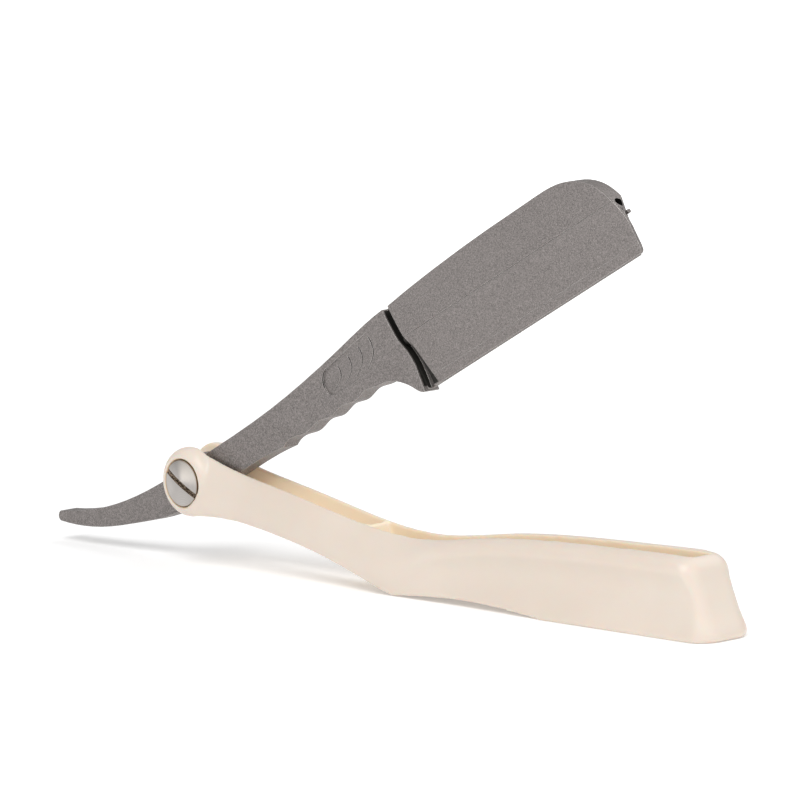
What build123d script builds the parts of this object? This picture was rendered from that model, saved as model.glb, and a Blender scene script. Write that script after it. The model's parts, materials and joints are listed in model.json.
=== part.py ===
from build123d import *
import os
from math import cos, radians, sin

os.makedirs("parts", exist_ok=True)

# ---------------------------------------------------------------- stance
# X runs along the handle from the pivot to its end, Y across it, Z up, and the
# handle rests on its underside at Z = 0. Everything is drawn with the pivot axis
# at X = 0 and moved at the end, so that the origin lies on the foot's underside.
origin_x = 95.0               # pivot axis to the origin
pivot_height = 12.75
blade_angle = 27.4            # the open blade's slope above the handle, degrees

# ---------------------------------------------------------------- handle
tip_room = 1.2                # channel's end past the folded tip
end_wall = 2.2                # left between the channel and the handle's end
end_rake = 3.6                # the end leans in by this much up to its rims
foot_half_width = 5.4
arm_half_width = 4.9
waist_half_width = 4.3
foot_rim = 12.1               # rims above the underside, at the foot
rim_half_width = 2.5          # where the flat of each rim turns over into the side
end_corner_radius = 3.6
end_top_round = 3.0
corner_x = 46.6               # where the arms' underside meets the foot
arch_rise = 0.95              # hollow under the foot
ear_radius = 5.45
ear_half_width = 5.0
ear_round = 1.4
channel_room = 0.7            # each side of the folded head
channel_floor = 2.6
channel_corner_radius = 1.0
stop_x = 38.6                 # front of the stop rib, clear of the tail's swing
stop_top = 9.7
stop_ridge = 0.8
stop_base = 3.2

# ---------------------------------------------------------------- pivot stack
shank_thickness = 3.0
washer_thickness = 0.25
washer_play = 0.05            # each side of each washer pair
washer_radius = 3.5
boss_radius = 3.9
screw_head_radius = 3.6
screw_head_gap = 0.1
screw_head_height = 1.0
screw_dome = 0.35
screw_sink = 0.1              # head rim below the ear's face
slot_width = 0.8
slot_depth = 0.55
slot_turn = -29.0             # slot's slope in the side view, degrees
sleeve_radius = 2.0
sleeve_fit = 0.03             # sleeve in the handle's ears
bush_fit = 0.05               # sleeve in the bush
bush_wall = 0.5
thread_radius = 1.25
thread_gap = 0.02
thread_reach = 6.0
eye_radius = 4.2

# ---------------------------------------------------------------- blade holder
head_start = 53.6             # pivot axis to the shoulder's end
head_end = 107.4              # pivot axis to the tip
edge_drop = 7.45              # lower edge of the jaws below the pivot line
shoulder_drop = 7.7           # shoulder's lower corner below it
spine_rise = 8.28             # highest part of the spine above it
head_thickness = 2.8
edge_thickness = 1.05
face_step = 0.03              # upper face stands proud of the jaw
jaw_gap = 0.16                # between the two empty jaws
pocket_depth = 0.15           # blade seat sunk in the far jaw
pocket_height = 4.6           # blade seat above the lower edge
pocket_start = 57.5
slot_gap = 1.35               # slot between the shoulder and the jaw
slot_floor = 0.4              # floor of the slot's upper half, near side of the mid-plane
seam_gap = 0.05
lip_height = 1.5              # guard groove above the jaws' lower edge
lip_groove = 0.05
lip_half_width = 0.35
tail_tip_u = -33.4
tail_tip_h = 7.5
tail_tip_radius = 0.85

grip_count = 4
grip_pitch = 6.2
grip_depth = 0.5
grip_end = 45.9               # front of the foremost grip, from the pivot
grip_base = -3.0

recess_depth = 0.3            # thumb recess at its rear, running out to nothing in front
recess_front = 48.2
recess_length = 14.0
chevron_count = 4
chevron_pitch = 2.93
chevron_width = 0.22
chevron_depth = 0.15
chevron_climb = 0.39          # each chevron's top stands this much above the last

# ---------------------------------------------------------------- jaw hinge
hinge_h = 1.0                 # pin axis above the pivot line
pin_radius = 0.7
pin_fit = 0.03                # pin in the jaw's knuckles
knuckle_wall = 0.42
knuckle_gap = 0.12
pin_recess = 3.0              # pin end below the tip
knuckle_overhang = 0.45       # jaw knuckle past the jaw's rear edge
rear_knuckle_end = 59.5
mid_knuckle_length = 13.7
heel_height = 4.6
heel_thickness = 0.6
cavity_half_depth = 1.05
cavity_top = 5.0
jaw_wall = 0.55               # jaw plate above its gripping land
land_height = 1.3             # gripping land along the lower edge
tip_slant = 1.6               # the tip's end runs back by this much to the far side
spring_thickness = 0.2
spring_width = 2.0
spring_end_gap = 0.4
nib_radius = 0.32
nib_length = 2.5

# ---------------------------------------------------------------- worked out
fork_gap = shank_thickness + 2 * (washer_thickness + washer_play)
channel_width = head_thickness + 2 * channel_room
channel_end = head_end + tip_room
handle_end = channel_end + end_wall + end_rake
foot_length = handle_end - corner_x
head_length = head_end - head_start
mid_u = head_start + head_length / 2
mid_knuckle_start = mid_u - mid_knuckle_length / 2
mid_knuckle_end = mid_u + mid_knuckle_length / 2
lower_edge = -edge_drop
grip_start = grip_end - grip_count * grip_pitch
bore_radius = sleeve_radius + sleeve_fit
seat_y = ear_half_width - screw_sink - screw_head_height
counterbore_radius = screw_head_radius + screw_head_gap
bush_radius = sleeve_radius + bush_fit + bush_wall
hinge_bore = pin_radius + pin_fit
knuckle_radius = hinge_bore + knuckle_wall
seam_h = hinge_h + 0.35       # lower edge of the fixed face above the jaw
slope = radians(blade_angle)
along = Vector(cos(slope), 0, sin(slope))
across = Vector(-sin(slope), 0, cos(slope))
pivot = Vector(0, 0, pivot_height)

# Side view of the handle, drawn from the far side: sketch x is X and sketch y is Z.
handle_side = Plane(origin=(0, 0, 0), x_dir=(1, 0, 0), z_dir=(0, -1, 0))
# The blade holder's plane: sketch x runs out along the blade, sketch y towards its
# spine, and the normal towards the near face.
holder_side = Plane(origin=pivot, x_dir=along, z_dir=(0, -1, 0))


def cross_plane(x):
    """Plane square to the handle at x: sketch x is Y and sketch y is Z."""
    return Plane(origin=(x, 0, 0), x_dir=(0, 1, 0), z_dir=(1, 0, 0))


def holder_cross(u):
    """Plane square to the blade at u: sketch x is the far side and sketch y the spine side."""
    return Plane(origin=pivot + along * u, x_dir=(0, 1, 0), z_dir=along)


# ================================================================ handle
# Stations along the handle: x, rim height, crease height, crease, waist and foot half widths.
below = -2.0                  # the stations run past the underside, which is cut afterwards
stations = (
    (0, 18.05, 8.3, 4.7, 4.5, 4.0),
    (9, 15.6, 7.6, 4.6, 4.5, 4.1),
    (18, 13.85, 6.5, 4.6, 4.5, 4.1),
    (27, 12.2, 4.9, 4.7, 4.6, 4.3),
    (36, 10.45, 3.0, 4.8, 4.6, 4.3),
    (44, 9.3, 1.4, arm_half_width, 4.7, 4.5),
    (corner_x + 0.08 * foot_length, 9.0, 4.4, arm_half_width, 4.55, 4.75),
    (corner_x + 0.20 * foot_length, 9.75, 7.3, arm_half_width, 4.35, 4.9),
    (corner_x + 0.35 * foot_length, 10.95, 8.75, arm_half_width, waist_half_width, 5.1),
    (corner_x + 0.45 * foot_length, 11.4, 9.15, arm_half_width, waist_half_width, 5.25),
    (corner_x + 0.56 * foot_length, 11.7, 9.45, arm_half_width, waist_half_width, 5.35),
    (corner_x + 0.68 * foot_length, 11.9, 9.65, arm_half_width, waist_half_width, foot_half_width),
    (corner_x + 0.80 * foot_length, foot_rim, 9.8, arm_half_width, waist_half_width,
     foot_half_width),
    (corner_x + 0.92 * foot_length, foot_rim, 9.8, arm_half_width, waist_half_width,
     foot_half_width),
    (corner_x + 1.04 * foot_length, foot_rim, 9.8, arm_half_width, waist_half_width,
     foot_half_width),
)

# What the foot's end is trimmed to: height and how far short of the end, up the
# fishtail, with rounded corners in plan and a rounded top edge.
end_profile = ((0, 0.6), (0.9, 0), (2.5, 0.7), (4.5, 1.7), (7.6, 2.9), (9.8, end_rake - 0.05),
               (foot_rim, end_rake + 0.1))
with BuildPart() as end_form:
    for height, setback in end_profile:
        with BuildSketch(Plane.XY.offset(height)):
            with Locations(((handle_end - setback) / 2, 0)):
                RectangleRounded(handle_end - setback, 2 * foot_half_width, end_corner_radius)
    loft()
    fillet(end_form.faces().sort_by(Axis.Z)[-1].edges(), end_top_round)
    with Locations(((handle_end - 28) / 2, 0, foot_rim)):
        Box(handle_end + 12, 2 * foot_half_width, 2 * foot_rim)

with BuildPart() as handle:
    # moulded outside, through the stations
    for x, rim, crease, crease_half, waist_half, foot_half in stations:
        with BuildSketch(cross_plane(x)):
            with BuildLine():
                for side in (-1, 1):
                    Spline(
                        (side * rim_half_width, rim),
                        (side * (rim_half_width + 0.75 * (crease_half - rim_half_width)),
                         rim - 0.25 * (rim - crease)),
                        (side * crease_half, crease),
                    )
                    Spline(
                        (side * crease_half, crease),
                        (side * waist_half, 0.55 * crease),
                        (side * foot_half, 0.0),
                        (side * foot_half, below),
                    )
                Line((-rim_half_width, rim), (rim_half_width, rim))
                Line((-foot_half, below), (foot_half, below))
            make_face()
    loft()
    # side outline: arms, corner, gentle arch and foot
    with BuildSketch(handle_side):
        with BuildLine():
            Spline((0, 7.6), (9, 8.0), (18, 7.15), (27, 5.65), (36, 3.4), (corner_x, 0))
            ThreePointArc((corner_x, 0), (corner_x + 0.24 * foot_length, arch_rise),
                          (corner_x + 0.48 * foot_length, 0))
            Line((corner_x + 0.48 * foot_length, 0), (handle_end + 1, 0))
            Line((handle_end + 1, 0), (handle_end + 1, 25))
            Line((handle_end + 1, 25), (0, 25))
            Line((0, 25), (0, 7.6))
        make_face()
    extrude(amount=2 * foot_half_width, both=True, mode=Mode.INTERSECT)
    add(end_form.part, mode=Mode.INTERSECT)
    # domed ears round the pivot
    with BuildSketch(Plane.XY.offset(pivot_height)):
        with BuildLine():
            Line((0, -ear_half_width), (0, ear_half_width))
            Line((0, ear_half_width), (ear_radius - ear_round, ear_half_width))
            Spline((ear_radius - ear_round, ear_half_width),
                   (ear_radius - 0.35 * ear_round, ear_half_width - 0.5 * ear_round),
                   (ear_radius, ear_half_width - 1.6 * ear_round))
            Line((ear_radius, ear_half_width - 1.6 * ear_round),
                 (ear_radius, -ear_half_width + 1.6 * ear_round))
            Spline((ear_radius, -ear_half_width + 1.6 * ear_round),
                   (ear_radius - 0.35 * ear_round, -ear_half_width + 0.5 * ear_round),
                   (ear_radius - ear_round, -ear_half_width))
            Line((ear_radius - ear_round, -ear_half_width), (0, -ear_half_width))
        make_face()
    revolve(axis=Axis(pivot, (0, 1, 0)))
    # the blade's channel, open at the top, with a floor behind the stop rib
    with BuildSketch(Plane.XY.offset(channel_floor)):
        with Locations(((stop_x + channel_end) / 2, 0)):
            RectangleRounded(channel_end - stop_x, channel_width, channel_corner_radius)
    extrude(amount=30, mode=Mode.SUBTRACT)
    # the fork between the arms, open right through for the tail
    with BuildSketch(Plane.XY):
        with Locations(((stop_x - 20) / 2, 0)):
            Rectangle(stop_x + 20, channel_width)
    extrude(amount=30, mode=Mode.SUBTRACT)
    # stop rib that the folded shank comes down on
    with BuildSketch(handle_side):
        with BuildLine():
            Polyline(
                (stop_x, 2.0), (stop_x, stop_top), (stop_x + stop_ridge, stop_top),
                (stop_x + stop_base, channel_floor), (stop_x + stop_base, 2.0), (stop_x, 2.0),
            )
        make_face()
    extrude(amount=channel_width / 2 + 0.4, both=True)
    # bosses that carry the washers
    for side in (-1, 1):
        with BuildSketch(Plane(origin=(0, side * fork_gap / 2, pivot_height),
                               x_dir=(1, 0, 0), z_dir=(0, side, 0))):
            Circle(boss_radius)
        extrude(amount=(channel_width - fork_gap) / 2 + 0.2)
    # pivot bore and the two counterbores
    with BuildSketch(Plane(origin=pivot, x_dir=(1, 0, 0), z_dir=(0, 1, 0))):
        Circle(bore_radius)
    extrude(amount=ear_half_width + 1, both=True, mode=Mode.SUBTRACT)
    for side in (-1, 1):
        with BuildSketch(Plane(origin=(0, side * seat_y, pivot_height),
                               x_dir=(1, 0, 0), z_dir=(0, side, 0))):
            Circle(counterbore_radius)
        extrude(amount=screw_head_height + 2, mode=Mode.SUBTRACT)

# ================================================================ pivot hardware
near_seat = Plane(origin=(0, -seat_y, pivot_height), x_dir=(1, 0, 0), z_dir=(0, -1, 0))
far_seat = Plane(origin=(0, seat_y, pivot_height), x_dir=(-1, 0, 0), z_dir=(0, 1, 0))


def domed_head(seat):
    """Flat-seated round head with a domed, slotted top, raised from the seat plane."""
    with BuildPart(mode=Mode.PRIVATE) as head:
        with BuildSketch(Plane(origin=seat.origin, x_dir=seat.x_dir, z_dir=seat.y_dir)):
            with BuildLine():
                Line((0, 0), (screw_head_radius, 0))
                Line((screw_head_radius, 0), (screw_head_radius, -screw_head_height))
                ThreePointArc(
                    (screw_head_radius, -screw_head_height),
                    (0.55 * screw_head_radius, -screw_head_height - 0.72 * screw_dome),
                    (0, -screw_head_height - screw_dome),
                )
                Line((0, -screw_head_height - screw_dome), (0, 0))
            make_face()
        revolve(axis=Axis(seat.origin, seat.z_dir))
        with BuildSketch(seat.offset(screw_head_height + screw_dome - slot_depth)):
            Rectangle(3 * screw_head_radius, slot_width, rotation=slot_turn)
        extrude(amount=2, mode=Mode.SUBTRACT)
    return head.part


near_head = domed_head(near_seat)
far_head = domed_head(far_seat)

with BuildPart() as pivot_screw:
    add(near_head)
    with BuildSketch(near_seat):
        Circle(thread_radius)
    extrude(amount=-thread_reach)

with BuildPart() as sleeve_nut:
    add(far_head)
    with BuildSketch(far_seat):
        Circle(sleeve_radius)
    extrude(amount=-(2 * seat_y - 0.2))
    with BuildSketch(near_seat):
        Circle(thread_radius + thread_gap)
    extrude(amount=-(thread_reach + 0.4), mode=Mode.SUBTRACT)

with BuildPart() as bush:
    with BuildSketch(holder_side):
        Circle(bush_radius)
        Circle(sleeve_radius + bush_fit, mode=Mode.SUBTRACT)
    extrude(amount=shank_thickness / 2, both=True)

washers = []
for side in (-1, 1):
    with BuildPart() as washer:
        with BuildSketch(Plane(origin=(0, side * (fork_gap / 2 - washer_thickness), pivot_height),
                               x_dir=(1, 0, 0), z_dir=(0, side, 0))):
            Circle(washer_radius)
            Circle(sleeve_radius + 0.1, mode=Mode.SUBTRACT)
        extrude(amount=washer_thickness)
    washers.append(washer.part)

# ================================================================ blade holder outlines

with BuildSketch(Plane.XY) as shank_outline:
    with BuildLine():
        # back of the tail and shank, up to the shoulder
        Spline(
            (tail_tip_u + 0.5, tail_tip_h + 0.65), (-30.6, 7.15), (-26.8, 5.8), (-21.0, 4.3),
            (-12.8, 3.2), (0, 2.9), (13.0, 2.97), (22.0, 3.3), (33.0, 4.3), (40.0, 5.2),
            (46.5, 6.15), (head_start, 6.75),
        )
        Line((head_start, 6.75), (head_start + 1.4, 6.75))
        Line((head_start + 1.4, 6.75), (head_start + 1.4, -shoulder_drop))
        Line((head_start + 1.4, -shoulder_drop), (head_start + 1.1, -shoulder_drop))
        # shoulder sweeping up into the finger grips, a row of shallow waves
        waves = [(grip_end - wave * grip_pitch / 2, grip_base + grip_depth * (wave % 2))
                 for wave in range(2 * grip_count + 1)]
        Spline((head_start + 1.1, -shoulder_drop), (54.0, -7.3), (52.75, -6.05), (51.4, -4.9),
               (49.5, -3.75), (47.6, -3.15), *waves)
        # belly of the shank and the underside of the tail
        Spline((grip_start, grip_base), (12.0, -2.55), (0, -2.75), (-9.4, -2.2), (-17.2, -0.3),
               (-24.7, 2.05), (-30.0, 4.45), (tail_tip_u - 0.55, tail_tip_h - 0.65))
        ThreePointArc((tail_tip_u - 0.55, tail_tip_h - 0.65), (tail_tip_u - 0.65, tail_tip_h + 0.15),
                      (tail_tip_u + 0.5, tail_tip_h + 0.65))
    make_face()
    Circle(eye_radius)

with BuildSketch(Plane.XY) as head_outline:
    with BuildLine():
        Spline((head_start, 6.75), (head_start + 0.12 * head_length, 7.3),
               (head_start + 0.31 * head_length, 7.87), (head_start + 0.53 * head_length, 8.2),
               (head_end - 17, spine_rise), (head_end - 11.4, 8.15), (head_end - 8.4, 7.5),
               (head_end - 5.5, 6.1), (head_end - 3.5, 4.4), (head_end - 2.1, 2.5),
               (head_end - 1.2, 0.9), (head_end - 0.4, -1.0), (head_end, -3.4))
        Line((head_end, -3.4), (head_end, lower_edge + 0.6))
        RadiusArc((head_end, lower_edge + 0.6), (head_end - 0.6, lower_edge), 0.6)
        Line((head_end - 0.6, lower_edge), (head_start + 1.2, lower_edge))
        Line((head_start + 1.2, lower_edge), (head_start, lower_edge + 1.2))
        Line((head_start, lower_edge + 1.2), (head_start, 6.75))
    make_face()

# Rear edge of the jaw, from the spine to the lower edge: the slot lies behind it.
with BuildSketch(Plane.XY) as ahead_of_slot:
    with BuildLine():
        Spline((53.6, 9.5), (53.75, 6.5), (54.3, 3.0), (54.7, 1.3), (55.35, -0.1), (56.0, -1.8),
               (56.4, -4.0), (56.45, -9.0))
        Line((56.45, -9.0), (head_end + 3, -9.0))
        Line((head_end + 3, -9.0), (head_end + 3, 9.5))
        Line((head_end + 3, 9.5), (53.6, 9.5))
    make_face()

with BuildSketch(Plane.XY) as slot_band:
    add(ahead_of_slot.sketch.moved(Location((-slot_gap, 0, 0))))
    add(ahead_of_slot.sketch, mode=Mode.SUBTRACT)

with BuildSketch(Plane.XY) as below_seam:
    with Locations((mid_u, seam_h - 6)):
        Rectangle(head_length + 12, 12)

with BuildSketch(Plane.XY) as jaw_room:
    add(ahead_of_slot.sketch.moved(Location((-slot_gap, 0, 0))))
    add(below_seam.sketch, mode=Mode.INTERSECT)

with BuildSketch(Plane.XY) as jaw_outline:
    add(head_outline.sketch)
    add(ahead_of_slot.sketch, mode=Mode.INTERSECT)
    add(below_seam.sketch.moved(Location((0, -seam_gap, 0))), mode=Mode.INTERSECT)

with BuildSketch(Plane.XY) as recess_outline:
    with BuildLine():
        Spline((36.4, 3.77), (42.0, 4.52), (recess_front, 5.25))
        Line((recess_front, 5.25), (recess_front, -0.5))
        Line((recess_front, -0.5), (36.4, -0.5))
        ThreePointArc((36.4, -0.5), (34.34, 1.65), (36.4, 3.77))
    make_face()


def on_holder(sketch, offset=0.0):
    """The sketch laid on the holder's side plane, raised towards the near face."""
    return [holder_side.offset(offset).from_local_coords(face) for face in sketch.faces()]


def head_section(u, near_step):
    """Cross-section of the head at u: thick spine, tapering to the lower edge."""
    spine_half = head_thickness / 2
    edge_half = edge_thickness / 2
    with BuildSketch(holder_cross(u), mode=Mode.PRIVATE) as section:
        with BuildLine():
            Polyline(
                (spine_half, 9.5), (spine_half, seam_h), (spine_half - near_step, seam_h),
                (edge_half, lower_edge), (edge_half, lower_edge - 1),
                (-edge_half, lower_edge - 1), (-edge_half, lower_edge),
                (-spine_half + near_step, seam_h), (-spine_half, seam_h), (-spine_half, 9.5),
                (spine_half, 9.5),
            )
        make_face()
    return section.sketch


def hinge_rod(start, end, radius):
    """Round rod on the hinge line from start to end."""
    plane = holder_cross(start)
    centre = Plane(origin=plane.origin + across * hinge_h, x_dir=(0, 1, 0), z_dir=along)
    with BuildPart(mode=Mode.PRIVATE) as rod:
        with BuildSketch(centre):
            Circle(radius)
        extrude(amount=end - start)
    return rod.part


def recess_at(u):
    """Depth of the thumb recess at u."""
    return recess_depth * (recess_front - u) / recess_length


def chevron(index):
    """Outline of one thin groove of the thumb grip, bent like an arrowhead."""
    climb = index * chevron_climb
    with BuildSketch(Plane.XY, mode=Mode.PRIVATE) as outline:
        with BuildLine():
            for start in (index * chevron_pitch, index * chevron_pitch - chevron_width):
                Spline((38.75 + start, 3.2 + climb), (39.0 + start, 2.5 + 0.6 * climb),
                       (38.8 + start, 1.6 + 0.3 * climb), (37.8 + start, 0.85 + 0.1 * climb),
                       (36.2 + start, 0.12))
            front = index * chevron_pitch
            Line((38.75 + front, 3.2 + climb), (38.75 + front - chevron_width, 3.2 + climb))
            Line((36.2 + front, 0.12), (36.2 + front - chevron_width, 0.12))
        make_face()
    return outline.sketch


rear_knuckle_start = 54.7 - knuckle_overhang
jaw_knuckles = ((rear_knuckle_start, rear_knuckle_end), (mid_knuckle_start, mid_knuckle_end))
holder_knuckles = (
    (rear_knuckle_end + knuckle_gap, mid_knuckle_start - knuckle_gap),
    (mid_knuckle_end + knuckle_gap, head_end),
)

with BuildPart() as head_block:
    for face in on_holder(head_outline.sketch):
        extrude(face, amount=head_thickness, both=True)
    extrude(head_section(head_start - 1, face_step), amount=head_length + 4, mode=Mode.INTERSECT)

with BuildPart() as holder_eyes:
    for start, end in holder_knuckles:
        add(hinge_rod(start, end, knuckle_radius))
    for face in on_holder(head_outline.sketch):
        extrude(face, amount=head_thickness, both=True, mode=Mode.INTERSECT)

# ================================================================ holder body
with BuildPart() as holder_body:
    # shank, shoulder and tail
    for face in on_holder(shank_outline.sketch):
        extrude(face, amount=shank_thickness / 2, both=True)
    # the thicker shank stops at the slot
    for side in (-1, 1):
        for face in on_holder(ahead_of_slot.sketch, side * head_thickness / 2):
            extrude(face, amount=side * shank_thickness, mode=Mode.SUBTRACT)
    add(head_block.part)
    # slot behind the jaw, shallow above the hinge and down to the far jaw below it
    for face in on_holder(slot_band.sketch, slot_floor):
        extrude(face, amount=4, mode=Mode.SUBTRACT)
    for face in on_holder(jaw_room.sketch, -jaw_gap / 2):
        extrude(face, amount=4, mode=Mode.SUBTRACT)
    # knuckles that hold the pin, trimmed to the head's own outline
    add(holder_eyes.part)
    for start, end in jaw_knuckles:
        add(hinge_rod(start - knuckle_gap, end + knuckle_gap, knuckle_radius + knuckle_gap),
            mode=Mode.SUBTRACT)
    # cavity for the jaw's heel and its spring
    with BuildSketch(holder_side):
        with Locations((mid_u, (hinge_h + cavity_top) / 2)):
            Rectangle(mid_knuckle_length + 2 * knuckle_gap, cavity_top - hinge_h)
    extrude(amount=cavity_half_depth, both=True, mode=Mode.SUBTRACT)
    # pin bore, open at the tip
    add(hinge_rod(rear_knuckle_start, head_end + 1, pin_radius), mode=Mode.SUBTRACT)
    # blade seat in the far jaw, open at the tip
    with BuildSketch(holder_side.offset(-jaw_gap / 2 - pocket_depth)):
        with Locations(((pocket_start + head_end) / 2 + 1, lower_edge + pocket_height / 2 - 0.5)):
            Rectangle(head_end - pocket_start + 2, pocket_height + 1)
    extrude(amount=1, mode=Mode.SUBTRACT)
    # the tip's end slants back to the far side
    with BuildSketch(Plane(origin=pivot - across * 20, x_dir=along, z_dir=across)):
        with BuildLine():
            Polyline(
                (head_end - 0.3, -head_thickness / 2),
                (head_end - 0.3 - tip_slant, head_thickness / 2),
                (head_end + 3, head_thickness / 2), (head_end + 3, -head_thickness / 2),
                (head_end - 0.3, -head_thickness / 2),
            )
        make_face()
    extrude(amount=40, mode=Mode.SUBTRACT)
    # pivot bore
    with BuildSketch(holder_side):
        Circle(bush_radius)
    extrude(amount=shank_thickness, both=True, mode=Mode.SUBTRACT)
    # thumb recesses on both faces, each with its row of chevrons
    for side in (-1, 1):
        face_y = -side * shank_thickness / 2
        with BuildPart(mode=Mode.PRIVATE) as recess:
            for face in on_holder(recess_outline.sketch, side * shank_thickness / 4):
                extrude(face, amount=side * shank_thickness)
            with BuildSketch(Plane(origin=pivot - across * 20, x_dir=along, z_dir=across)):
                with BuildLine():
                    Polyline(
                        (recess_front, face_y), (recess_front, 3 * face_y), (20, 3 * face_y),
                        (20, face_y + side * recess_at(20)), (recess_front, face_y),
                    )
                make_face()
            extrude(amount=40, mode=Mode.INTERSECT)
        add(recess.part, mode=Mode.SUBTRACT)
        for index in range(chevron_count):
            depth = recess_at(38 + index * chevron_pitch) + chevron_depth
            for face in on_holder(chevron(index), side * (shank_thickness / 2 - depth)):
                extrude(face, amount=side * shank_thickness, mode=Mode.SUBTRACT)
    # small nib at the tip, at the head of the slit between the jaws
    with BuildSketch(holder_cross(head_end - 3)):
        with Locations((nib_radius + jaw_gap, hinge_h - 1.8)):
            Circle(nib_radius)
    extrude(amount=nib_length)

# ================================================================ jaw, pin and spring
# how fast the jaw's face falls away from the lower edge
face_fall = (head_thickness / 2 - face_step - edge_thickness / 2) / (seam_h + edge_drop)

with BuildPart() as clamp_jaw:
    for face in on_holder(jaw_outline.sketch, jaw_gap / 2):
        extrude(face, amount=4)
    add(head_block.part, mode=Mode.INTERSECT)
    # hollow behind the plate, between its land and the hinge
    inner_top = jaw_wall - head_thickness / 2 + face_step
    inner_land = jaw_wall - edge_thickness / 2 - land_height * face_fall
    with BuildSketch(holder_cross(head_start - 2)):
        with BuildLine():
            Polyline(
                (0.5, hinge_h - 0.4), (inner_top, hinge_h - 0.4),
                (inner_land, lower_edge + land_height),
                (0.5, lower_edge + land_height), (0.5, hinge_h - 0.4),
            )
        make_face()
    extrude(amount=head_length + 4, mode=Mode.SUBTRACT)
    # clearance round the holder's knuckles and the jaw's own knuckles
    for start, end in holder_knuckles:
        add(hinge_rod(start - knuckle_gap, end + knuckle_gap, knuckle_radius + knuckle_gap),
            mode=Mode.SUBTRACT)
    for start, end in jaw_knuckles:
        add(hinge_rod(start, end, knuckle_radius))
    # heel that the spring pushes on, inside the holder's cavity
    with BuildSketch(holder_side.offset(0.05)):
        with Locations((mid_u, (hinge_h + heel_height) / 2)):
            Rectangle(mid_knuckle_length - 1.0, heel_height - hinge_h)
    extrude(amount=heel_thickness)
    # pin bore and the guard groove above the lower edge
    add(hinge_rod(head_start - 1, head_end + 1, hinge_bore), mode=Mode.SUBTRACT)
    groove_y = -edge_thickness / 2 - lip_height * face_fall
    with BuildSketch(holder_cross(head_start)):
        with BuildLine():
            Polyline(
                (groove_y + lip_groove, lower_edge + lip_height),
                (groove_y - 0.2, lower_edge + lip_height + lip_half_width),
                (groove_y - 0.2, lower_edge + lip_height - lip_half_width),
                (groove_y + lip_groove, lower_edge + lip_height),
            )
        make_face()
    extrude(amount=head_length + 1, mode=Mode.SUBTRACT)

with BuildPart() as hinge_pin:
    add(hinge_rod(rear_knuckle_start + 0.3, head_end - pin_recess, pin_radius))
    chamfer(hinge_pin.edges().filter_by(GeomType.CIRCLE), 0.15)

# bow-shaped leaf spring, drawn at the length it has with the jaws fully open
spring_half = mid_knuckle_length / 2 - spring_end_gap
spring_wall = -cavity_half_depth
spring_crest = -spring_end_gap
with BuildPart() as jaw_spring:
    with BuildSketch(Plane(origin=pivot + across * (hinge_h + 1.4), x_dir=along, z_dir=across)):
        with BuildLine():
            ThreePointArc((mid_u - spring_half, -spring_wall),
                          (mid_u, -spring_crest), (mid_u + spring_half, -spring_wall))
            offset(amount=spring_thickness, side=Side.RIGHT)
        make_face()
    extrude(amount=spring_width)

# ================================================================ files
pieces = {
    "handle": handle.part,
    "pivot_screw": pivot_screw.part,
    "sleeve_nut": sleeve_nut.part,
    "pivot_bush": bush.part,
    "washer_near": washers[0],
    "washer_far": washers[1],
    "holder_body": holder_body.part,
    "clamp_jaw": clamp_jaw.part,
    "hinge_pin": hinge_pin.part,
    "jaw_spring": jaw_spring.part,
}
for label, piece in pieces.items():
    placed = piece.moved(Location((-origin_x, 0, 0)))
    placed.label = label
    export_step(placed, f"parts/{label}.step")
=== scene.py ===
import json
from math import cos, radians, sin

import bmesh
import bpy
from mathutils import Matrix, Vector


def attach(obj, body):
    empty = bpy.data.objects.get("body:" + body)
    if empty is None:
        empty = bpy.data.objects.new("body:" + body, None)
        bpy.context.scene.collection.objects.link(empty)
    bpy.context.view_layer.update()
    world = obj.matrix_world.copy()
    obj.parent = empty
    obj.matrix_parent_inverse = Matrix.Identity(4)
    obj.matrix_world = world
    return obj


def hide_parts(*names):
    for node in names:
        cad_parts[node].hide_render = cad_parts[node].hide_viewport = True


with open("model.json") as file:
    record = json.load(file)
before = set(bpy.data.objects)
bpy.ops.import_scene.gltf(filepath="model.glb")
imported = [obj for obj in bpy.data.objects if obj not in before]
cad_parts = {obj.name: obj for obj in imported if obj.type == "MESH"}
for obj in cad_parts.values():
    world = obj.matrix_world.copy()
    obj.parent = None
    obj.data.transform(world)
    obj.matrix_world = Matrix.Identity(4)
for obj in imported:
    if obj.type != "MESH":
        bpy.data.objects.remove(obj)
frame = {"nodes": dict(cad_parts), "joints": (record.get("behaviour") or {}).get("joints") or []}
nodes = frame["nodes"]
scene = bpy.context.scene
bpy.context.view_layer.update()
mm = 0.001

bladeSlope = radians(27.4)  # of the open holder
pivot = Vector(frame["joints"][0]["pos_m"])


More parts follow.
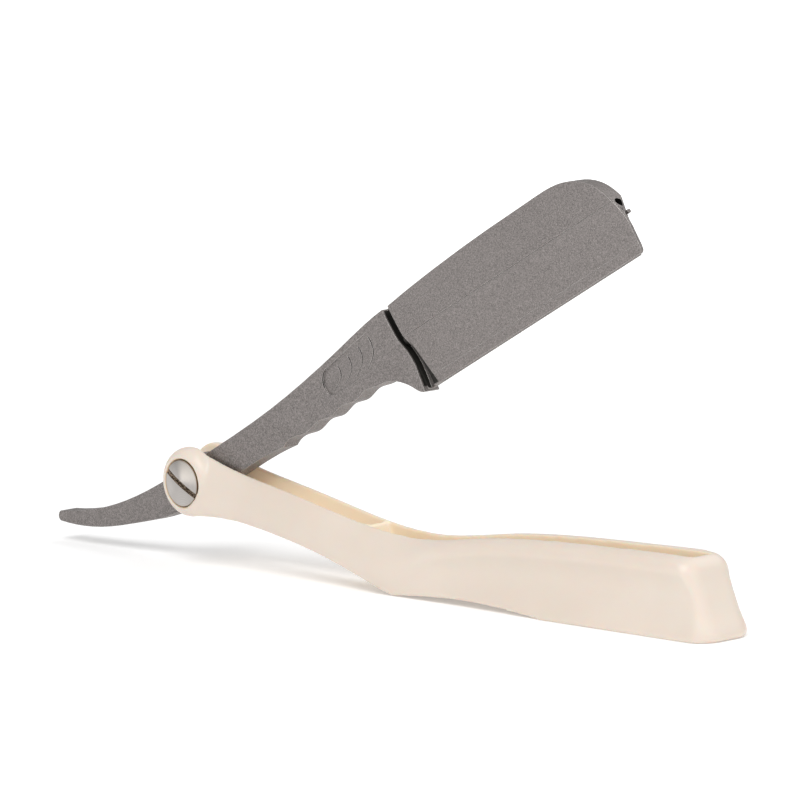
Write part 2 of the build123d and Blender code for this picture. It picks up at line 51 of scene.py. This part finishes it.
class Sock:  # a shader socket that takes part in Python expressions
    def __init__(self, tree, link):
        self.tree = tree
        self.link = link

    def node(self, kind, settings=None, inputs=None, out=0):
        made = self.tree.nodes.new(kind)
        for name, value in (settings or {}).items():
            setattr(made, name, value)
        for name, value in (inputs or {}).items():
            if isinstance(value, Sock):
                self.tree.links.new(value.link, made.inputs[name])
            elif isinstance(value, tuple) and len(value) < len(made.inputs[name].default_value):
                made.inputs[name].default_value = (*value, 1.0)
            else:
                made.inputs[name].default_value = value
        return Sock(self.tree, made.outputs[out])

    def maths(self, operation, first, second=0.0):
        return self.node("ShaderNodeMath", {"operation": operation}, {0: first, 1: second})

    def __add__(self, other):
        return self.maths("ADD", self, other)

    __radd__ = __add__

    def __sub__(self, other):
        return self.maths("SUBTRACT", self, other)

    def __rsub__(self, other):
        return self.maths("SUBTRACT", other, self)

    def __mul__(self, other):
        return self.maths("MULTIPLY", self, other)

    __rmul__ = __mul__

    def size(self):
        return self.maths("ABSOLUTE", self)

    def power(self, other):
        return self.maths("POWER", self, other)

    def most(self, other):
        return self.maths("MAXIMUM", self, other)

    def between(self, low, high):  # 0 at low, 1 at high, smooth
        return self.node("ShaderNodeMapRange", {"interpolation_type": "SMOOTHSTEP"},
                         {"Value": self, "From Min": low, "From Max": high})

    def within(self, low, high, soft):  # 1 from low to high, fading out over soft past each
        return self.between(low - soft, low) * (1 - self.between(high, high + soft))

    def mix(self, first, second):  # colours: first where this is 0, second where it is 1
        return self.node("ShaderNodeMix", {"data_type": "RGBA"}, {0: self, 6: first, 7: second}, 2)

    def axis(self, which):
        return self.node("ShaderNodeSeparateXYZ", {}, {0: self}, which)

    def millimetresFrom(self, centre):
        away = self.node("ShaderNodeVectorMath", {"operation": "SUBTRACT"}, {0: self, 1: tuple(centre)})
        return [away.axis(which) * 1000 for which in range(3)]

    def noise(self, scale, detail=2.0, roughness=0.5):
        return self.node("ShaderNodeTexNoise", {}, {"Vector": self, "Scale": scale,
                                                    "Detail": detail, "Roughness": roughness})

    def bump(self, strength, distance, over=None):  # over: the normal that it is laid on
        inputs = {"Height": self, "Strength": strength, "Distance": distance}
        if over:
            inputs["Normal"] = over
        return self.node("ShaderNodeBump", {}, inputs)

    def rounded(self, radius):  # the normal with its edges eased, and how far each point lies on an eased edge
        eased = self.node("ShaderNodeBevel", {"samples": 6}, {"Radius": radius})
        plain = self.node("ShaderNodeNewGeometry", {}, {}, "Normal")
        even = self.node("ShaderNodeVectorMath", {"operation": "DOT_PRODUCT"}, {0: eased, 1: plain}, 1)
        return eased, 1 - even


def newMaterial(name):
    material = bpy.data.materials.new(name)
    material.use_nodes = True
    tree = material.node_tree
    tree.nodes.clear()
    shader = tree.nodes.new("ShaderNodeBsdfPrincipled")
    output = tree.nodes.new("ShaderNodeOutputMaterial")
    tree.links.new(shader.outputs[0], output.inputs[0])
    place = Sock(tree, tree.nodes.new("ShaderNodeTexCoord").outputs["Object"])

    def give(socket, value):
        if isinstance(value, Sock):
            tree.links.new(value.link, shader.inputs[socket])
        elif isinstance(value, tuple):
            shader.inputs[socket].default_value = (*value, 1.0)
        else:
            shader.inputs[socket].default_value = value
    return material, place, give


# lengths along the blade, up towards its spine and out from its middle are in millimetres
blasted = {"dark": (0.152, 0.138, 0.132), "light": (0.372, 0.340, 0.327),
           "paintedGlint": (0.62, 0.58, 0.56), "paintedGlintShare": 0.6,
           "wearAndHighlight": (0.80, 0.77, 0.74), "wearAndHighlightShare": 0.85, "edge": 0.00011,
           "paintedShade": (0.030, 0.028, 0.025), "grain": 9000.0, "pits": 4400.0, "cloud": 70.0,
           "metal": 0.75, "roughness": 0.48, "bump": 0.30, "bumpDepth": 0.00005,
           "slotLine": 55.3, "slotLean": 0.267, "slotBehind": 2.1, "slotAhead": 0.3,
           "slotNear": -1.1, "slotFar": -0.05, "slotFoot": -7.2, "slotHead": 6.4,
           "pinHeight": 1.0, "pinBore": 0.72, "faceHalf": 1.5,
           "recessDepth": 0.3, "recessRear": 34.0, "recessFront": 48.2, "recessLength": 14.0,
           "recessFoot": -0.6, "recessTop": -0.63, "recessClimb": 0.125, "gripShadeShare": 0.9}


def blastedSteel(values):
    material, place, give = newMaterial("blastedSteel")
    grain = place.noise(values["grain"], 2.0, 0.7)
    pits = place.noise(values["pits"], 2.0, 0.6)
    cloud = place.noise(values["cloud"], 3.0)
    tone = (grain * 0.6 + pits * 0.4).between(0.36, 0.64)
    colour = tone.mix(values["dark"], values["light"])
    # painted glints: scattered grains are painted much paler
    colour = (grain.between(0.66, 0.74) * values["paintedGlintShare"]).mix(colour, values["paintedGlint"])
    eased, edgeWearAndHighlight = place.rounded(values["edge"])
    # edges painted paler: partly real rubbing, partly a painted highlight where they would catch the
    # light
    colour = (edgeWearAndHighlight.between(0.06, 0.18) * values["wearAndHighlightShare"]).mix(colour, values["wearAndHighlight"])
    x, y, z = place.millimetresFrom(pivot)
    run = x * cos(bladeSlope) + z * sin(bladeSlope)
    rise = z * cos(bladeSlope) - x * sin(bladeSlope)
    # painted shade in the thumb grip: its thin grooves, and the upper wall of its recess
    sunk = values["faceHalf"] - y.size()
    floorDepth = (values["recessFront"] - run) * (values["recessDepth"] / values["recessLength"])
    grooves = (sunk - floorDepth).between(0.03, 0.07)
    walls = sunk.between(0.03, 0.06) * (floorDepth - sunk).between(0.02, 0.05) * rise.between(1.0, 1.8)
    reach = run.within(values["recessRear"], values["recessFront"] + 0.2, 0.1)
    reach = reach * rise.between(values["recessFoot"] - 0.1, values["recessFoot"])
    reach = reach * (1 - (rise - run * values["recessClimb"] - values["recessTop"]).between(0.0, 0.1))
    grip = grooves.most(walls) * reach
    # painted shade in the slot behind the jaw, and in the pin's bore
    slot = run + rise * values["slotLean"] - values["slotLine"]
    slot = slot.within(-values["slotBehind"], values["slotAhead"], 0.1)
    slot = slot * y.between(values["slotNear"] - 0.22, values["slotNear"])
    slot = slot * (1 - y.between(values["slotFar"], values["slotFar"] + 0.07))
    slot = slot * rise.within(values["slotFoot"], values["slotHead"], 0.1)
    fromPin = rise - values["pinHeight"]
    bore = (fromPin * fromPin + y * y).power(0.5)
    bore = 1 - bore.between(values["pinBore"], values["pinBore"] + 0.02)
    colour = slot.most(bore).most(grip * values["gripShadeShare"]).mix(colour, values["paintedShade"])
    give("Base Color", colour)
    give("Roughness", cloud * 0.1 + tone * 0.06 + values["roughness"])
    give("Metallic", values["metal"])
    give("Normal", (grain + pits * 0.7).bump(values["bump"], values["bumpDepth"], eased))
    return material


turned = {"colour": (0.55, 0.52, 0.495), "dull": (0.41, 0.385, 0.365),
          "highlight": (0.95, 0.88, 0.80), "highlightShare": 0.8, "highlightFan": radians(52),
          "rim": 3.35, "rimShadow": (0.30, 0.22, 0.14), "rimShadowShare": 0.5,
          "paintedShade": (0.045, 0.028, 0.016), "crumb": (0.62, 0.48, 0.36), "crumbs": 4600.0,
          "slotSlope": radians(-29), "slotHalf": 0.40, "slotFloor": 4.5,
          "rings": 24.0, "smear": 260.0, "roughness": 0.24}


def turnedSteel(name, values, side):  # centred on the pivot; side is 1 for the near head
    material, place, give = newMaterial(name)
    x, y, z = place.millimetresFrom(pivot)
    away = place.node("ShaderNodeVectorMath", {"operation": "SUBTRACT"}, {0: place, 1: tuple(pivot)})
    radius = (x * x + z * z).power(0.5)
    rings = radius * values["rings"]
    cut = rings.maths("SINE", rings + away.noise(900.0) * 3.0)
    smear = away.noise(values["smear"], 3.0)
    slot = (z * cos(values["slotSlope"]) - x * (side * sin(values["slotSlope"]))).size()
    inSlot = 1 - slot.between(values["slotHalf"], values["slotHalf"] + 0.03)
    inSlot = inSlot * y.size().between(values["slotFloor"], values["slotFloor"] + 0.1)
    colour = (cut * 0.2 + smear).between(0.3, 0.8).mix(values["dull"], values["colour"])
    # painted highlight: the facing marks are painted paler in a soft wedge
    highlightFan = x * (side * cos(values["highlightFan"])) + z * sin(values["highlightFan"])
    highlightFan = (highlightFan * (radius + 0.3).power(-1.0)).between(0.45, 1.0)
    colour = (highlightFan * values["highlightShare"]).mix(colour, values["highlight"])
    # painted shadow: the head's rim is painted brown, for the shaded gap round the head
    rim = radius.between(values["rim"], values["rim"] + 0.25)
    colour = (rim * values["rimShadowShare"]).mix(colour, values["rimShadow"])
    # the slot is painted near black as painted shade, with paler crumbs of dirt in it
    crumbs = away.noise(values["crumbs"], 2.0, 0.7).between(0.47, 0.6)
    colour = inSlot.mix(colour, (crumbs * 0.75).mix(values["paintedShade"], values["crumb"]))
    give("Base Color", colour)
    give("Roughness", inSlot * 0.35 + smear * 0.14 + values["roughness"])
    give("Metallic", 1 - inSlot * 0.7)
    give("Normal", (cut * 0.5 + smear * 0.5).bump(0.18, 0.00002))
    return material


ivory = {"colour": (0.790, 0.695, 0.605), "warm": (0.765, 0.668, 0.575),
         "inside": (0.93, 0.80, 0.62), "seatShadow": (0.62, 0.47, 0.28), "speck": (0.62, 0.5, 0.36),
         "roughness": 0.30, "haze": 60.0, "peel": 1100.0, "specks": 2400.0,
         "channelHalf": 2.15, "channelEnd": 13.65, "channelFloor": 2.5,
         "seat": 3.8, "seatFloor": 3.6, "translucency": 0.25, "depth": 0.0012}


def ivoryPlastic(values):
    material, place, give = newMaterial("ivoryPlastic")
    cloud = place.noise(values["haze"], 3.0)
    peel = place.noise(values["peel"], 2.0)
    specks = place.noise(values["specks"], 1.0).between(0.72, 0.8)
    x, y, z = place.millimetresFrom((0, 0, 0))
    # painted light: the channel's hollow is painted paler and warmer, against the shade it lies in
    inner = 1 - y.size().between(values["channelHalf"], values["channelHalf"] + 0.2)
    inner = inner * (1 - x.between(values["channelEnd"], values["channelEnd"] + 0.2))
    inner = inner * z.between(values["channelFloor"] - 0.2, values["channelFloor"])
    colour = cloud.between(0.35, 0.65).mix(values["warm"], values["colour"])
    colour = inner.mix(colour, values["inside"])
    # painted shadow: a darker line round each screw head, where the gap to its seat lies in shade
    x, y, z = place.millimetresFrom(pivot)
    ring = 1 - (x * x + z * z).power(0.5).between(values["seat"], values["seat"] + 0.2)
    ring = ring * y.size().between(values["seatFloor"], values["seatFloor"] + 0.2)
    colour = (ring * 0.8).mix(colour, values["seatShadow"])
    colour = (specks * 0.12).mix(colour, values["speck"])
    give("Base Color", colour)
    give("Roughness", cloud * 0.12 + specks * 0.1 + values["roughness"])
    give("Normal", (peel + cloud * 0.5).bump(0.05, 0.00005))
    give("Subsurface Weight", values["translucency"])
    give("Subsurface Scale", values["depth"])
    return material


bronze = {"name": "bronze", "dark": (0.42, 0.27, 0.12), "light": (0.62, 0.43, 0.2), "smear": 900.0,
          "detail": 4.0, "grain": 0.65, "metal": 1.0, "spread": 0.2, "roughness": 0.25, "bump": 0.15}
springSteel = {"name": "springSteel", "dark": (0.2, 0.2, 0.21), "light": (0.42, 0.42, 0.43),
               "smear": 1500.0, "detail": 4.0, "grain": 0.65, "metal": 1.0, "spread": 0.2,
               "roughness": 0.28, "bump": 0.15}
washer = {"name": "washerPlastic", "dark": (0.70, 0.67, 0.6), "light": (0.82, 0.8, 0.74),
          "smear": 1200.0, "detail": 3.0, "grain": 0.5, "metal": 0.0, "spread": 0.15,
          "roughness": 0.45, "bump": 0.1}


def smearedFinish(values):  # the small inner parts
    material, place, give = newMaterial(values["name"])
    smear = place.noise(values["smear"], values["detail"], values["grain"])
    give("Base Color", smear.between(0.3, 0.7).mix(values["dark"], values["light"]))
    give("Roughness", smear * values["spread"] + values["roughness"])
    give("Metallic", values["metal"])
    give("Normal", smear.bump(values["bump"], 0.00003))
    return material


steel = blastedSteel(blasted)
plastic = ivoryPlastic(ivory)
finishes = {
    "handle": plastic, "holder_body": steel, "clamp_jaw": steel,
    "pivot_screw": turnedSteel("turnedSteelNear", turned, 1),
    "sleeve_nut": turnedSteel("turnedSteelFar", turned, -1),
    "pivot_bush": smearedFinish(bronze), "hinge_pin": smearedFinish(springSteel),
    "jaw_spring": smearedFinish(springSteel), "washer_near": smearedFinish(washer),
    "washer_far": smearedFinish(washer),
}
for name, finish in finishes.items():
    nodes[name].data.materials.clear()
    nodes[name].data.materials.append(finish)
print("finishes given")


def worked(node, name):  # a merged copy of a CAD solid
    shape = bmesh.new()
    shape.from_mesh(nodes[node].data)
    bmesh.ops.remove_doubles(shape, verts=shape.verts, dist=2e-6)
    data = bpy.data.meshes.new(name)
    shape.to_mesh(data)
    shape.free()
    piece = bpy.data.objects.new(name, data)
    scene.collection.objects.link(piece)
    return piece


def applied(piece):  # its modifiers made part of its mesh
    graph = bpy.context.evaluated_depsgraph_get()
    data = bpy.data.meshes.new_from_object(piece.evaluated_get(graph))
    piece.modifiers.clear()
    old = piece.data
    piece.data = data
    bpy.data.meshes.remove(old)
    return piece


moulding = {"voxel": 0.21, "rounds": 12, "ease": 0.5, "triangles": 186000}  # voxel in millimetres


def mouldedHandle(values):
    piece = worked("handle", "moulded_handle")
    remesh = piece.modifiers.new("skin", "REMESH")
    remesh.mode = "VOXEL"
    remesh.voxel_size = values["voxel"] * mm
    applied(piece)
    shape = bmesh.new()
    shape.from_mesh(piece.data)
    for _ in range(values["rounds"]):
        bmesh.ops.smooth_vert(shape, verts=shape.verts, factor=values["ease"],
                              use_axis_x=True, use_axis_y=True, use_axis_z=True)
    shape.to_mesh(piece.data)
    shape.free()
    thin = piece.modifiers.new("thin", "DECIMATE")
    thin.ratio = min(1.0, values["triangles"] / (2 * len(piece.data.polygons)))
    applied(piece)
    piece.data.polygons.foreach_set("use_smooth", [True] * len(piece.data.polygons))
    piece.data.materials.clear()
    piece.data.materials.append(plastic)
    print("handle faces", len(piece.data.polygons))
    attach(piece, "handle")
    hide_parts("handle")


mouldedHandle(moulding)
print("handle moulded")

camera = {"azimuth": 47.578, "elevation": 8.484, "roll": 1.868, "distance": 1.2,
          "target": (-49.803, 0.0, 29.113), "lens": 359.644, "sensor": 36.0, "near": 0.05}

turn = radians(camera["azimuth"])
tilt = radians(camera["elevation"])
roll = radians(camera["roll"])
back = Vector((sin(turn) * cos(tilt), -cos(turn) * cos(tilt), sin(tilt)))
level = Vector((cos(turn), sin(turn), 0))
upright = back.cross(level)
right = level * cos(roll) - upright * sin(roll)
top = level * sin(roll) + upright * cos(roll)
lens = bpy.data.cameras.new("camera")
lens.lens = camera["lens"]
lens.sensor_width = camera["sensor"]
lens.clip_start = camera["near"]
eye = bpy.data.objects.new("camera", lens)
scene.collection.objects.link(eye)
eye.matrix_world = Matrix.Translation(
    Vector(camera["target"]) * mm + back * camera["distance"]
) @ Matrix((right, top, back)).transposed().to_4x4()
scene.camera = eye

ground = {"half": 3.0, "colour": (0.93, 0.93, 0.93), "roughness": 0.95, "gloss": 0.05,
          "near": 0.12, "far": 0.6, "nearGlow": (0.19, 0.19, 0.19), "farGlow": (0.75, 0.75, 0.75)}

floorMesh = bmesh.new()
bmesh.ops.create_grid(floorMesh, x_segments=1, y_segments=1, size=ground["half"])
floorData = bpy.data.meshes.new("floor")
floorMesh.to_mesh(floorData)
floorMesh.free()
floor = bpy.data.objects.new("floor", floorData)
scene.collection.objects.link(floor)
floorLook, floorPlace, giveFloor = newMaterial("paleFloor")
giveFloor("Base Color", ground["colour"])
giveFloor("Roughness", ground["roughness"])
giveFloor("Specular IOR Level", ground["gloss"])
away = floorPlace.node("ShaderNodeVectorMath", {"operation": "LENGTH"}, {0: floorPlace}, 1)
glow = away.between(ground["near"], ground["far"]).mix(ground["nearGlow"], ground["farGlow"])
giveFloor("Emission Color", glow)
giveFloor("Emission Strength", 1.0)
floorData.materials.append(floorLook)

world = bpy.data.worlds.new("studio")
scene.world = world
world.use_nodes = True
world.node_tree.nodes["Background"].inputs[0].default_value = (1.0, 1.0, 1.0, 1)
world.node_tree.nodes["Background"].inputs[1].default_value = 0.44
scene.view_settings.view_transform = "Standard"

lamps = {  # where each stands, its width and its power
    "key": ((0.32, -0.66, 1.12), 0.8, 9.8),
    "fill": ((0.9, -0.2, 0.45), 0.7, 1.2),
    "rear": ((0.1, 0.7, 0.8), 0.8, 2.6),
}
aim = Vector((-0.05, 0, 0.03))
for name, (spot, width, power) in lamps.items():
    data = bpy.data.lights.new(name, "AREA")
    data.size = width
    data.energy = power
    lamp = bpy.data.objects.new(name, data)
    scene.collection.objects.link(lamp)
    lamp.location = spot
    lamp.rotation_euler = (Vector(spot) - aim).to_track_quat("Z", "Y").to_euler()
print("stage set")
